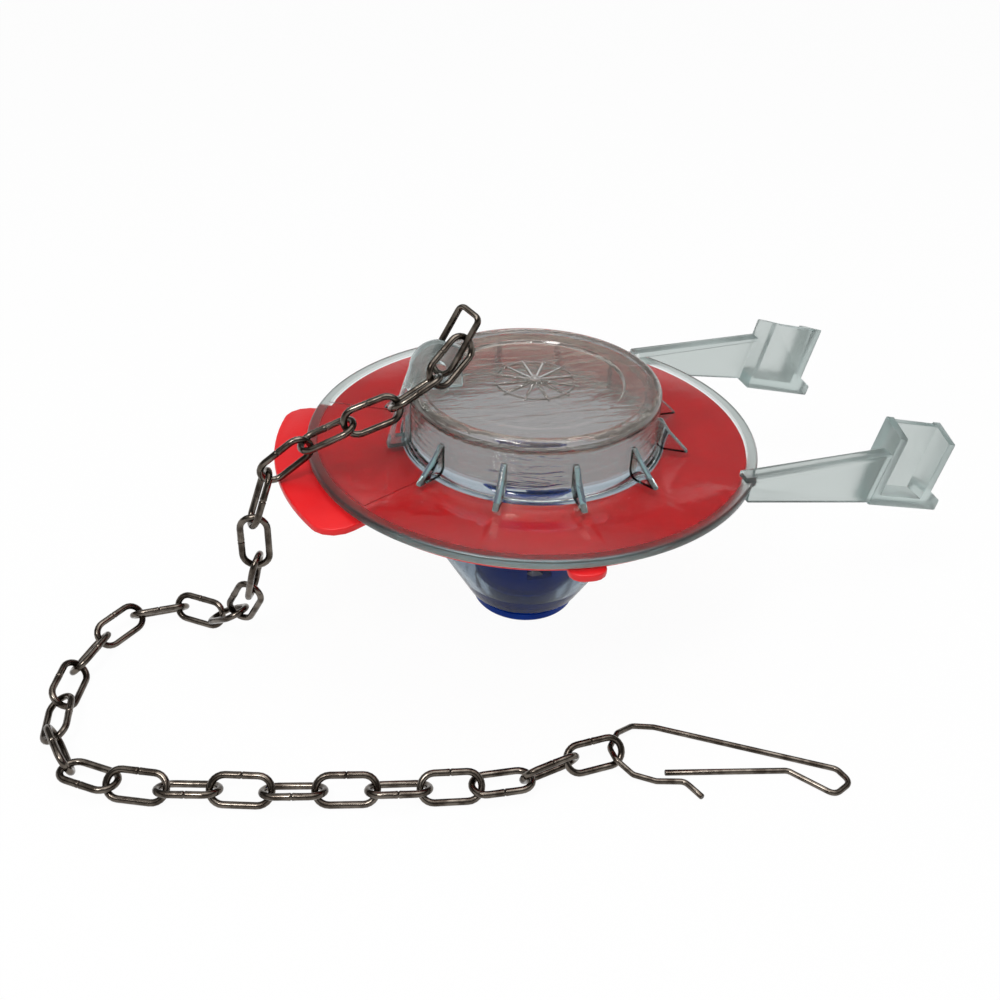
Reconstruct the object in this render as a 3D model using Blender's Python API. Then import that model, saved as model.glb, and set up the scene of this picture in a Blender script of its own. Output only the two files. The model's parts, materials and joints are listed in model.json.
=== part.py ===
"""Flush valve seal: a clear float frame with a red seal ring, a blue dial, a steel chain and its wire clip.

Metres, +Z up. The dial's foot stands on z = 0 at the origin, and the hinge arms point along +X.
"""

import math

import bmesh
import bpy
from mathutils import Matrix, Vector

# Fits, and the least angle between two faces that shows as an edge
FIT_GAP = 0.0003
OVERRUN = 0.0005
SHARP_ANGLE = math.radians(35)

# Flange, the clear disc that carries the seal
FLANGE_RADIUS = 0.049
FLANGE_TOP = 0.045
FLANGE_THICKNESS = 0.002
EDGE_BREAK = 0.0004

# Float chamber: the cone below the flange and the drum on it
CONE_FOOT_Z = 0.004
CONE_FOOT_RADIUS = 0.0139
CONE_FLARE = 0.56
CONE_WALL = 0.0017
NECK_TOP = 0.0075
DRUM_RADIUS = 0.0273
DRUM_HEIGHT = 0.010
DRUM_WALL = 0.0015
DRUM_FILLET = 0.0020
FRAME_SEGMENTS = 72

# Ribs round the drum, one every 30 degrees but where the lug stands
RIB_COUNT = 12
RIB_REACH = 0.0071
RIB_HEIGHT = 0.0072
RIB_THICKNESS = 0.0013

# Chain lug, a fin opposite the arms. Its insets are measured in from the drum's wall
LUG_THICKNESS = 0.0024
LUG_FOOT = 0.0052
LUG_SHOULDER_INSET = 0.0001
LUG_SHOULDER_RISE = 0.0200
LUG_CROWN_INSET = 0.0028
LUG_PEAK_INSET = 0.0065
LUG_INNER_RISE = 0.0212
LUG_FRAME = 0.0013
LUG_HEIGHT = 0.0231
LUG_INNER_INSET = 0.0111
LUG_HOLE_RADIUS = 0.0023
LUG_HOLE_INSET = 0.0058
LUG_HOLE_RISE = 0.0162
LUG_WINDOW_HEIGHT = 0.0062

# Hinge arms and their ears
ARM_Y = 0.0315
ARM_SEAL_GAP = 0.0012
ARM_THICKNESS = 0.0020
ARM_ROOT_X = 0.0330
ARM_STRIP_WIDTH = 0.0032
ARM_STRIP_THICKNESS = 0.0010
ARM_STRIP_PROUD = 0.0001
ARM_ROOT_DROP = 0.0051
ARM_TIP_UP = 0.0123
EAR_X = 0.0672
EAR_DROP = 0.0101
EAR_TILT = math.radians(13.2)
EAR_LENGTH = 0.0151
EAR_HEIGHT = 0.0184
EAR_TOP_FALL = 0.0019
EAR_PROUD = 0.0002
EAR_DEPTH = 0.0069
EAR_WALL = 0.0020
EAR_PLATE = 0.0018
EAR_PLATE_DIP = 0.0005
FOOT_THICKNESS = 0.0026
FOOT_TOE = 0.0035

# Cap on the drum
CAP_THICKNESS = 0.0020
CAP_FILLET = 0.0010
CAP_RECESS_RADIUS = 0.0189
CAP_RECESS_DEPTH = 0.0006
CAP_SPIGOT = 0.0015
STAR_RADIUS = 0.0086
STAR_BARS = 6
STAR_BAR_WIDTH = 0.0006
STAR_HEIGHT = 0.0004
STAR_HUB_RADIUS = 0.0014

# Seal ring and its two pull tabs
SEAL_RADIUS = 0.0465
SEAL_THICKNESS = 0.0018
SEAL_SEAT_RADIUS = 0.0284
SEAL_LIP = 0.0011
SEAL_LIP_THICKNESS = 0.0008
TAB_RADIUS = 0.0560
TAB_HALF_ANGLE = math.radians(29)
TAB_CORNER = math.radians(6)
SMALL_TAB_RADIUS = 0.0511
SMALL_TAB_ANGLE = math.radians(-95.5)
SMALL_TAB_HALF_ANGLE = math.radians(4.2)
SMALL_TAB_CORNER = math.radians(2.4)

# Dial in the mouth of the cone
DIAL_RADIUS = 0.0119
DIAL_SLEEVE_RADIUS = 0.0113
DIAL_SLEEVE_TOP = 0.0260
DIAL_WALL = 0.0013
DIAL_FLOOR = 0.0015
DIAL_BEAD = 0.0007
DIAL_BEAD_HEIGHT = 0.0010
DIAL_SLOT_WIDTH = 0.0060
DIAL_SLOT_FOOT = 0.0120
DIAL_SLOT_HEIGHT = 0.0080
VENT_RADIUS = 0.0022
VENT_PITCH_RADIUS = 0.0064
VENT_COUNT = 4

# Chain of round wire links
WIRE = 0.0014
LINK_LENGTH = 0.0132
LINK_WIDTH = 0.0069
LINK_ARC_STEPS = 6
CHAIN_PLAY = 0.0005
LUG_LINK_LENGTH = 0.0158
LUG_LINK_WIDTH = 0.0069
LUG_LINK_LEAN = math.radians(29)
LUG_LINK_TURN = math.radians(33)
LUG_LINK_CORNER = 0.0012

# Where each link meets the next, from the link on the lug to the clip: over the flange, down and round the floor
CHAIN_FLOOR = 0.0026
CHAIN_JOINTS = (
    (-0.0158, -0.0011, 0.0675), (-0.0230, -0.0054, 0.0623), (-0.0318, -0.0072, 0.0581), (-0.0412, -0.0070, 0.0549),
    (-0.0501, -0.0059, 0.0508), (-0.0582, -0.0062, 0.0451), (-0.0620, -0.0096, 0.0366), (-0.0622, -0.0097, 0.0267),
    (-0.0638, -0.0069, 0.0173), (-0.0672, -0.0032, 0.0088), (-0.0716, 0.0037, 0.0032), (-0.0790, 0.0092, CHAIN_FLOOR),
    (-0.0887, 0.0092, CHAIN_FLOOR), (-0.0969, 0.0022, CHAIN_FLOOR), (-0.1018, -0.0064, CHAIN_FLOOR),
    (-0.1045, -0.0158, CHAIN_FLOOR), (-0.1054, -0.0256, CHAIN_FLOOR), (-0.1025, -0.0348, CHAIN_FLOOR),
    (-0.0946, -0.0405, CHAIN_FLOOR), (-0.0856, -0.0444, CHAIN_FLOOR), (-0.0762, -0.0471, CHAIN_FLOOR),
    (-0.0668, -0.0500, CHAIN_FLOOR), (-0.0572, -0.0524, CHAIN_FLOOR), (-0.0475, -0.0547, CHAIN_FLOOR),
    (-0.0378, -0.0568, CHAIN_FLOOR), (-0.0280, -0.0587, CHAIN_FLOOR), (-0.0180, -0.0596, CHAIN_FLOOR),
    (-0.0084, -0.0576, CHAIN_FLOOR), (0.0013, -0.0570, CHAIN_FLOOR),
)

# Turn of each link about its own length, from the second link to the last: a hanging link from facing
# CHAIN_FACE, and a link that lies on the floor from facing up
CHAIN_FACE = Vector((-0.27, -0.76, 0.60))
CHAIN_TURNS = (
    -35, 69, -30, 48, 127, 59, -8, 80, -11, 68, -64, 43, -52, 45, -45, 29, -73, -8, 44, -28, 48, -28, 50, -28, 44, -6,
    -65, 50,
)

# Wire clip on the last link: its bends in the order of the wire
CLIP_WIRE = 0.0012
CLIP_BEND_RADIUS = 0.0020
CLIP_BEND_STEPS = 4
CLIP_REST_Z = 0.0006
CLIP_STEP_Z = 0.0011
CLIP_EYE_Z = 0.0026
CLIP_BENDS = (
    (0.0097, -0.0632, CLIP_REST_Z), (0.0338, -0.0689, CLIP_REST_Z), (0.0398, -0.0768, CLIP_REST_Z),
    (0.0445, -0.0748, CLIP_REST_Z), (0.0436, -0.0710, CLIP_REST_Z), (0.0125, -0.0512, CLIP_REST_Z),
    (0.0080, -0.0502, CLIP_STEP_Z), (0.0036, -0.0526, CLIP_EYE_Z), (0.0006, -0.0560, CLIP_EYE_Z),
    (0.0007, -0.0592, CLIP_EYE_Z), (0.0032, -0.0625, CLIP_STEP_Z), (0.0072, -0.0648, CLIP_REST_Z),
    (0.0126, -0.0663, CLIP_REST_Z), (0.0143, -0.0708, CLIP_REST_Z),
)


def clear_scene():
    for item in list(bpy.data.objects):
        bpy.data.objects.remove(item, do_unlink=True)


def surface(name, colour, roughness, metallic=0.0, alpha=1.0):
    material = bpy.data.materials.new(name)
    material.use_nodes = True
    shader = material.node_tree.nodes["Principled BSDF"]
    shader.inputs["Base Color"].default_value = (*colour, 1.0)
    shader.inputs["Roughness"].default_value = roughness
    shader.inputs["Metallic"].default_value = metallic
    shader.inputs["Alpha"].default_value = alpha
    return material


def place(name, data, material=None):
    """Links a mesh or curve to the scene as one named object."""
    if material:
        data.materials.append(material)
    piece = bpy.data.objects.new(name, data)
    bpy.context.scene.collection.objects.link(piece)
    return piece


def finished_mesh(name, bm):
    bmesh.ops.recalc_face_normals(bm, faces=bm.faces[:])
    mesh = bpy.data.meshes.new(name)
    bm.to_mesh(mesh)
    bm.free()
    mesh.shade_smooth()
    mesh.set_sharp_from_angle(angle=SHARP_ANGLE)
    return mesh


def turned(name, profile, segments, closed=False):
    """Spins a (radius, height) profile about Z. An open profile starts and ends on the axis."""
    bm = bmesh.new()
    verts = [bm.verts.new((radius, 0, height)) for radius, height in profile]
    pairs = list(zip(verts, verts[1:]))
    if closed:
        pairs.append((verts[-1], verts[0]))
    edges = [bm.edges.new(pair) for pair in pairs]
    bmesh.ops.spin(
        bm, geom=verts + edges, cent=(0, 0, 0), axis=(0, 0, 1), angle=math.tau, steps=segments, use_merge=True
    )
    bmesh.ops.remove_doubles(bm, verts=bm.verts[:], dist=1e-6)
    return finished_mesh(name, bm)


def lofted(name, first, second):
    """A closed solid between two outlines that match point for point."""
    bm = bmesh.new()
    rings = [[bm.verts.new(point) for point in outline] for outline in (first, second)]
    for ring in rings:
        bm.faces.new(ring)
    count = len(first)
    for i in range(count):
        j = (i + 1) % count
        bm.faces.new((rings[0][i], rings[0][j], rings[1][j], rings[1][i]))
    return finished_mesh(name, bm)


def upright(name, outline, near_y, far_y):
    """An (x, z) outline given thickness along Y."""
    return lofted(name, [(x, near_y, z) for x, z in outline], [(x, far_y, z) for x, z in outline])


def level(name, outline, low_z, high_z):
    """An (x, y) outline given thickness along Z."""
    return lofted(name, [(x, y, low_z) for x, y in outline], [(x, y, high_z) for x, y in outline])


def polar(radius, angle):
    return radius * math.cos(angle), radius * math.sin(angle)


def arc(centre, radius, start, end, steps):
    """Points of an arc about a 2-D centre, both ends included."""
    angles = [start + (end - start) * i / steps for i in range(steps + 1)]
    return [(centre[0] + radius * math.cos(a), centre[1] + radius * math.sin(a)) for a in angles]


def helper(name, mesh, angle=0.0):
    """A solid that another piece is joined to or cut by."""
    tool = place(name, mesh)
    tool.rotation_euler.z = angle
    tool.hide_render = True
    tool.display_type = "WIRE"
    return tool


def combine(piece, tools, operation):
    for tool in tools:
        step = piece.modifiers.new(f"{operation.lower()}_{tool.name}", "BOOLEAN")
        step.operation = operation
        step.object = tool


def cone_radius(height):
    """Outer radius of the cone at a height above the base."""
    return CONE_FOOT_RADIUS + CONE_FLARE * (height - CONE_FOOT_Z)


def cone_height(radius):
    """Height above the base at which the cone's outside has a radius."""
    return CONE_FOOT_Z + (radius - CONE_FOOT_RADIUS) / CONE_FLARE


FLANGE_BOTTOM = FLANGE_TOP - FLANGE_THICKNESS
DRUM_TOP = FLANGE_TOP + DRUM_HEIGHT
SEAL_TOP = FLANGE_BOTTOM - FIT_GAP
SEAL_BOTTOM = SEAL_TOP - SEAL_THICKNESS
LIP_TOP = SEAL_BOTTOM - FIT_GAP
LIP_BOTTOM = LIP_TOP - SEAL_LIP_THICKNESS
CAP_BOTTOM = DRUM_TOP + FIT_GAP
CAP_TOP = CAP_BOTTOM + CAP_THICKNESS
NECK_BORE = DIAL_SLEEVE_RADIUS + FIT_GAP
LUG_HOLE_X = LUG_HOLE_INSET - DRUM_RADIUS


def frame_profile():
    """Section of the flange, cone and drum, up the outside and down the inside."""
    bore = SEAL_SEAT_RADIUS - CONE_WALL
    lip = SEAL_SEAT_RADIUS + SEAL_LIP
    outside = [
        (NECK_BORE, CONE_FOOT_Z), (CONE_FOOT_RADIUS, CONE_FOOT_Z), (SEAL_SEAT_RADIUS, cone_height(SEAL_SEAT_RADIUS)),
        (SEAL_SEAT_RADIUS, LIP_BOTTOM - SEAL_LIP), (lip, LIP_BOTTOM), (lip, LIP_TOP), (SEAL_SEAT_RADIUS, LIP_TOP),
        (SEAL_SEAT_RADIUS, FLANGE_BOTTOM),
        (FLANGE_RADIUS - EDGE_BREAK, FLANGE_BOTTOM), (FLANGE_RADIUS, FLANGE_BOTTOM + EDGE_BREAK),
        (FLANGE_RADIUS, FLANGE_TOP - EDGE_BREAK), (FLANGE_RADIUS - EDGE_BREAK, FLANGE_TOP),
    ]
    centre = (DRUM_RADIUS + DRUM_FILLET, FLANGE_TOP + DRUM_FILLET)
    fillet = arc(centre, DRUM_FILLET, -math.pi / 2, -math.pi, 3)
    inside = [
        (DRUM_RADIUS, DRUM_TOP), (DRUM_RADIUS - DRUM_WALL, DRUM_TOP), (DRUM_RADIUS - DRUM_WALL, FLANGE_TOP),
        (bore, FLANGE_BOTTOM), (bore, cone_height(SEAL_SEAT_RADIUS)), (cone_radius(NECK_TOP) - CONE_WALL, NECK_TOP),
        (NECK_BORE, NECK_TOP),
    ]
    return outside + fillet + inside


def ribs():
    root = DRUM_RADIUS - OVERRUN
    outline = [
        (root, FLANGE_TOP - OVERRUN), (DRUM_RADIUS + RIB_REACH, FLANGE_TOP - OVERRUN),
        (DRUM_RADIUS + RIB_REACH - OVERRUN, FLANGE_TOP + OVERRUN), (DRUM_RADIUS + OVERRUN, FLANGE_TOP + RIB_HEIGHT),
        (root, FLANGE_TOP + RIB_HEIGHT),
    ]
    mesh = upright("rib", outline, -RIB_THICKNESS / 2, RIB_THICKNESS / 2)
    steps = [i for i in range(RIB_COUNT) if 2 * i != RIB_COUNT]
    return [helper(f"rib_{i:02d}", mesh, math.tau * i / RIB_COUNT) for i in steps]


def lug_radius(rise):
    """How far from the axis the lug's sloping back lies, at a rise above the flange."""
    return DRUM_RADIUS + LUG_FOOT - (LUG_FOOT + LUG_SHOULDER_INSET) * rise / LUG_SHOULDER_RISE


def lug():
    root = DRUM_RADIUS - OVERRUN
    over_cap = CAP_TOP + FIT_GAP
    beside_cap = DRUM_RADIUS + FIT_GAP
    shape = [
        (root, FLANGE_TOP - OVERRUN), (lug_radius(0), FLANGE_TOP - OVERRUN),
        (DRUM_RADIUS - LUG_SHOULDER_INSET, FLANGE_TOP + LUG_SHOULDER_RISE),
        (DRUM_RADIUS - LUG_CROWN_INSET, FLANGE_TOP + (LUG_HEIGHT + LUG_SHOULDER_RISE + LUG_FRAME) / 2),
        (DRUM_RADIUS - LUG_PEAK_INSET, FLANGE_TOP + LUG_HEIGHT),
        (DRUM_RADIUS - LUG_INNER_INSET, FLANGE_TOP + LUG_INNER_RISE), (DRUM_RADIUS - LUG_INNER_INSET, over_cap),
        (beside_cap, over_cap), (beside_cap, DRUM_TOP - OVERRUN), (root, DRUM_TOP - OVERRUN),
    ]
    half = LUG_THICKNESS / 2
    return helper("lug", upright("lug", [(-radius, z) for radius, z in shape], -half, half))


def lug_cuts():
    """The chain's hole through the lug, and the window in its gusset."""
    reach = LUG_THICKNESS
    hole = arc((LUG_HOLE_X, FLANGE_TOP + LUG_HOLE_RISE), LUG_HOLE_RADIUS, 0, math.tau * 15 / 16, 15)
    low = DRUM_FILLET
    high = low + LUG_WINDOW_HEIGHT
    near = DRUM_RADIUS + LUG_FRAME
    window = [
        (-near, FLANGE_TOP + low), (LUG_FRAME - lug_radius(low), FLANGE_TOP + low),
        (LUG_FRAME - lug_radius(high), FLANGE_TOP + high), (-near, FLANGE_TOP + high),
    ]
    return [
        helper("lug_hole", upright("lug_hole", hole, -reach, reach)),
        helper("lug_window", upright("lug_window", window, -reach, reach)),
    ]


def ear_point(along, up):
    """A point of the ear, measured along the arm from its near wall and square to that."""
    x = EAR_X + along * math.cos(EAR_TILT) + up * math.sin(EAR_TILT)
    return x, FLANGE_TOP - EAR_DROP - along * math.sin(EAR_TILT) + up * math.cos(EAR_TILT)


def arm(side):
    """One arm's web with the strip along its top edge."""
    clear = SEAL_RADIUS + ARM_SEAL_GAP
    drop_x = math.sqrt(clear**2 - (ARM_Y - ARM_THICKNESS) ** 2)
    middle = FLANGE_TOP - FLANGE_THICKNESS / 2
    root_top = FLANGE_TOP + ARM_STRIP_THICKNESS
    tip_x, tip_z = ear_point(EAR_WALL / 2, ARM_TIP_UP)
    web = [
        (ARM_ROOT_X, middle), (drop_x, middle), (drop_x, FLANGE_TOP - ARM_ROOT_DROP),
        ear_point(EAR_WALL / 2, OVERRUN), (tip_x, tip_z), (ARM_ROOT_X, root_top),
    ]
    strip = [
        (ARM_ROOT_X - OVERRUN, FLANGE_TOP - OVERRUN), (tip_x, tip_z + OVERRUN - ARM_STRIP_THICKNESS),
        (tip_x, tip_z + OVERRUN), (ARM_ROOT_X - OVERRUN, root_top + OVERRUN / 2),
    ]
    inner = ARM_Y - ARM_THICKNESS
    strip_outer = ARM_Y + ARM_STRIP_PROUD
    name = "left" if side > 0 else "right"
    return [
        helper(f"{name}_arm", upright(f"{name}_arm", web, side * inner, side * ARM_Y)),
        helper(
            f"{name}_strip",
            upright(f"{name}_strip", strip, side * (ARM_Y - ARM_STRIP_WIDTH), side * strip_outer),
        ),
    ]


def ear(side):
    """One hinge ear: a block with a toe, whose outer face stands just proud of the arm."""
    outer = ARM_Y + EAR_PROUD
    inner = outer - EAR_DEPTH

    def outline(y, height):
        corners = [
            (0, 0), (EAR_LENGTH + FOOT_TOE, 0), (EAR_LENGTH + FOOT_TOE, FOOT_THICKNESS),
            (EAR_LENGTH, FOOT_THICKNESS + EAR_WALL), (EAR_LENGTH, height), (0, height),
        ]
        flat = [ear_point(along, up) for along, up in corners]
        return [(x, side * y, z) for x, z in flat]

    name = "left_ear" if side > 0 else "right_ear"
    return helper(name, lofted(name, outline(inner, EAR_HEIGHT), outline(outer, EAR_HEIGHT - EAR_TOP_FALL)))


def ear_channel(side):
    """The channel of an ear, open outwards and at its top, with a step down to its back plate's top edge."""
    outer = ARM_Y + EAR_PROUD
    inner = outer - EAR_DEPTH
    above = EAR_HEIGHT + EAR_WALL
    dip = EAR_HEIGHT - EAR_PLATE_DIP
    section = [
        (inner - EAR_WALL, dip), (inner + EAR_PLATE, dip), (inner + EAR_PLATE, FOOT_THICKNESS),
        (outer + EAR_WALL, FOOT_THICKNESS), (outer + EAR_WALL, above), (inner - EAR_WALL, above),
    ]

    def outline(along):
        flat = [(*ear_point(along, up), side * y) for y, up in section]
        return [(x, y, z) for x, z, y in flat]

    name = "left_channel" if side > 0 else "right_channel"
    return helper(name, lofted(name, outline(EAR_WALL), outline(EAR_LENGTH - EAR_WALL)))


def build_frame(material):
    frame = place("float_frame", turned("float_frame", frame_profile(), FRAME_SEGMENTS, closed=True), material)
    combine(frame, ribs(), "UNION")
    combine(frame, [lug()], "UNION")
    for side in (1, -1):
        combine(frame, arm(side) + [ear(side)], "UNION")
        combine(frame, [ear_channel(side)], "DIFFERENCE")
    combine(frame, lug_cuts(), "DIFFERENCE")


def star_outline():
    """Twelve narrow rays about a hub, as one outline."""
    rays = 2 * STAR_BARS
    points = []
    for i in range(rays):
        angle = math.tau * i / rays
        across = STAR_BAR_WIDTH / 2 / STAR_RADIUS
        points.append(polar(STAR_HUB_RADIUS, angle - math.pi / rays))
        points.append(polar(STAR_RADIUS, angle - across))
        points.append(polar(STAR_RADIUS, angle + across))
    return points


def build_cap(material):
    floor = CAP_TOP - CAP_RECESS_DEPTH
    spigot = DRUM_RADIUS - DRUM_WALL - FIT_GAP
    edge = arc((DRUM_RADIUS - CAP_FILLET, CAP_TOP - CAP_FILLET), CAP_FILLET, math.pi / 2, 0, 3)
    profile = [
        (0, floor), (CAP_RECESS_RADIUS, floor), (CAP_RECESS_RADIUS + CAP_RECESS_DEPTH / 2, CAP_TOP), *edge,
        (DRUM_RADIUS, CAP_BOTTOM), (spigot, CAP_BOTTOM), (spigot, CAP_BOTTOM - CAP_SPIGOT),
        (spigot - DRUM_WALL, CAP_BOTTOM - CAP_SPIGOT), (spigot - DRUM_WALL, CAP_BOTTOM), (0, CAP_BOTTOM),
    ]
    cap = place("top_cap", turned("top_cap", profile, FRAME_SEGMENTS), material)
    star = level("star", star_outline(), floor - CAP_RECESS_DEPTH / 2, floor + STAR_HEIGHT)
    combine(cap, [helper("star", star)], "UNION")


def tab_outline(middle, half_angle, radius, corner):
    """A tab that widens from inside the seal's rim, with its outer corners cut round."""
    root = SEAL_RADIUS - SEAL_THICKNESS
    waist = SEAL_RADIUS + (radius - SEAL_RADIUS) / 2
    return [
        polar(root, middle - half_angle), polar(waist, middle - half_angle),
        polar(radius - (radius - waist) / 4, middle - half_angle + corner / 3),
        *arc((0, 0), radius, middle - half_angle + corner, middle + half_angle - corner, 8),
        polar(radius - (radius - waist) / 4, middle + half_angle - corner / 3),
        polar(waist, middle + half_angle), polar(root, middle + half_angle),
        *arc((0, 0), root, middle + half_angle, middle - half_angle, 6)[1:-1],
    ]


def build_seal(material):
    inner = SEAL_SEAT_RADIUS + FIT_GAP
    section = [
        (inner, SEAL_BOTTOM), (SEAL_RADIUS - EDGE_BREAK, SEAL_BOTTOM), (SEAL_RADIUS, SEAL_BOTTOM + EDGE_BREAK),
        (SEAL_RADIUS, SEAL_TOP), (inner, SEAL_TOP),
    ]
    seal = place("seal_ring", turned("seal_ring", section, FRAME_SEGMENTS, closed=True), material)
    skin = EDGE_BREAK / 4
    large = tab_outline(math.pi, TAB_HALF_ANGLE, TAB_RADIUS, TAB_CORNER)
    small = tab_outline(SMALL_TAB_ANGLE, SMALL_TAB_HALF_ANGLE, SMALL_TAB_RADIUS, SMALL_TAB_CORNER)
    tabs = [
        helper(name, level(name, outline, SEAL_BOTTOM + skin, SEAL_TOP - skin))
        for name, outline in (("pull_tab", large), ("small_tab", small))
    ]
    combine(seal, tabs, "UNION")


def build_dial(material):
    shoulder = CONE_FOOT_Z - FIT_GAP
    bead_foot = NECK_TOP + FIT_GAP
    inner = DIAL_SLEEVE_RADIUS - DIAL_WALL
    profile = [
        (0, 0), (DIAL_RADIUS - EDGE_BREAK, 0), (DIAL_RADIUS, EDGE_BREAK), (DIAL_RADIUS, shoulder),
        (DIAL_SLEEVE_RADIUS, shoulder), (DIAL_SLEEVE_RADIUS, bead_foot),
        (DIAL_SLEEVE_RADIUS + DIAL_BEAD, bead_foot + DIAL_BEAD / 2),
        (DIAL_SLEEVE_RADIUS, bead_foot + DIAL_BEAD_HEIGHT), (DIAL_SLEEVE_RADIUS, DIAL_SLEEVE_TOP),
        (inner, DIAL_SLEEVE_TOP), (inner, DIAL_FLOOR), (0, DIAL_FLOOR),
    ]
    dial = place("bleed_dial", turned("bleed_dial", profile, FRAME_SEGMENTS * 2 // 3), material)
    vent = level("vent", arc((VENT_PITCH_RADIUS, 0), VENT_RADIUS, 0, math.tau * 11 / 12, 11), -DIAL_FLOOR, 2 * DIAL_FLOOR)
    vents = [helper(f"vent_{i}", vent, math.tau * (i + 0.5) / VENT_COUNT) for i in range(VENT_COUNT)]
    high = DIAL_SLOT_FOOT + DIAL_SLOT_HEIGHT
    corners = [
        (-DIAL_SLOT_WIDTH / 2, DIAL_SLOT_FOOT), (DIAL_SLOT_WIDTH / 2, DIAL_SLOT_FOOT),
        (DIAL_SLOT_WIDTH / 2, high), (-DIAL_SLOT_WIDTH / 2, high),
    ]
    slot = helper("bleed_slot", upright("bleed_slot", corners, -2 * DIAL_RADIUS, 2 * DIAL_RADIUS))
    combine(dial, vents + [slot], "DIFFERENCE")


def wire(name, points, diameter, closed):
    """A round wire as a curve with a bevel."""
    curve = bpy.data.curves.new(name, "CURVE")
    curve.dimensions = "3D"
    curve.bevel_depth = diameter / 2
    curve.bevel_resolution = 1
    curve.use_fill_caps = not closed
    spline = curve.splines.new("POLY")
    spline.points.add(len(points) - 1)
    for target, point in zip(spline.points, points):
        target.co = (*point, 1.0)
    spline.use_cyclic_u = closed
    return curve


def link_path():
    """An oval link in its own XY plane, its length along X."""
    radius = (LINK_WIDTH - WIRE) / 2
    reach = (LINK_LENGTH - LINK_WIDTH) / 2
    right = arc((reach, 0), radius, -math.pi / 2, math.pi / 2, LINK_ARC_STEPS)
    left = arc((-reach, 0), radius, math.pi / 2, 3 * math.pi / 2, LINK_ARC_STEPS)
    return [(x, y, 0) for x, y in right + left]


def lug_link_path():
    """The longer link on the lug: one round end, which starts at the origin, and one square end."""
    half = (LUG_LINK_WIDTH - WIRE) / 2
    top = LUG_LINK_LENGTH - WIRE
    corner = LUG_LINK_CORNER
    bottom = arc((half, 0), half, math.pi / 2, 3 * math.pi / 2, LINK_ARC_STEPS)
    right = arc((top - corner, corner - half), corner, -math.pi / 2, 0, 2)
    left = arc((top - corner, half - corner), corner, 0, math.pi / 2, 2)
    return [(x, y, 0) for x, y in bottom + right + left]


def chain_joints(pitch):
    """The joints, each set one pitch from the last towards its place in CHAIN_JOINTS."""
    joints = [Vector(CHAIN_JOINTS[0])]
    for point in CHAIN_JOINTS[1:]:
        joints.append(joints[-1] + (Vector(point) - joints[-1]).normalized() * pitch)
    return joints


def link_matrix(start, end, turn):
    """Places a link between two joints. One whose middle comes near the floor lies flat along it."""
    centre = (start + end) / 2
    along = end - start
    facing = CHAIN_FACE
    lies = centre.z < LINK_WIDTH / 2
    if lies:
        along.z = 0
        facing = Vector((0, 0, 1))
    along.normalize()
    facing = (facing - along * facing.dot(along)).normalized()
    normal = Matrix.Rotation(math.radians(turn), 3, along) @ facing
    across = normal.cross(along)
    if lies:
        centre.z = max(centre.z, WIRE / 2 + abs(across.z) * (LINK_WIDTH - WIRE) / 2)
    return Matrix.Translation(centre) @ Matrix((along, across, normal)).transposed().to_4x4()


def build_chain(material):
    lug_link = place("lug_link", wire("lug_link", lug_link_path(), WIRE, True), material)
    lean = Matrix.Rotation(LUG_LINK_LEAN - math.pi / 2, 4, "Y")
    lug_link.matrix_world = (
        Matrix.Translation((LUG_HOLE_X, 0, FLANGE_TOP + LUG_HOLE_RISE)) @ lean @ Matrix.Rotation(LUG_LINK_TURN, 4, "X")
    )
    pitch = LINK_LENGTH - 2 * WIRE - CHAIN_PLAY
    shape = wire("chain_link", link_path(), WIRE, True)
    shape.materials.append(material)
    joints = chain_joints(pitch)
    for i, turn in enumerate(CHAIN_TURNS):
        link = place(f"chain_link_{i + 2:02d}", shape)
        link.matrix_world = link_matrix(joints[i], joints[i + 1], turn)


def rounded_bends(points, radius, steps):
    """The straight runs between the points, with an arc of the given radius at each bend."""
    path = [points[0]]
    for before, corner, after in zip(points, points[1:], points[2:]):
        back = (before - corner).normalized()
        onward = (after - corner).normalized()
        half = back.angle(onward) / 2
        reach = min(radius / math.tan(half), (before - corner).length / 2, (after - corner).length / 2)
        start = corner + back * reach
        end = corner + onward * reach
        for i in range(steps + 1):
            t = i / steps
            path.append((1 - t) ** 2 * start + 2 * t * (1 - t) * corner + t**2 * end)
    return path + [points[-1]]


def build_clip(material):
    bends = rounded_bends([Vector(point) for point in CLIP_BENDS], CLIP_BEND_RADIUS, CLIP_BEND_STEPS)
    path = [point for point, ahead in zip(bends, bends[1:]) if (ahead - point).length > CLIP_WIRE / 10] + [bends[-1]]
    place("wire_clip", wire("wire_clip", path, CLIP_WIRE, False), material)


def build():
    clear_scene()
    clear_plastic = surface("clear_plastic", (0.62, 0.68, 0.66), 0.12, alpha=0.4)
    red_rubber = surface("red_rubber", (0.72, 0.01, 0.02), 0.4)
    blue_plastic = surface("blue_plastic", (0.0, 0.03, 0.30), 0.3)
    steel = surface("steel", (0.30, 0.27, 0.24), 0.28, metallic=1.0)
    build_frame(clear_plastic)
    build_cap(clear_plastic)
    build_seal(red_rubber)
    build_dial(blue_plastic)
    build_chain(steel)
    build_clip(steel)


build()
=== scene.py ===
# %% [markdown]
# # A flush valve seal in Blender
#
# The object closes the outlet of a toilet tank: a clear plastic float with a red rubber seal under its disc,
# a blue dial in its foot, and a steel chain with a wire clip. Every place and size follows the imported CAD
# model. This script builds a finer piece over each CAD solid, gives it a finish, and lights it. Lengths are
# written in millimetres, and MM turns them into Blender's metres.

# %% The tools and the fixed frame
import json
import math

import bmesh
import bpy
import numpy as np
from mathutils import Matrix, Vector, noise

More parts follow.
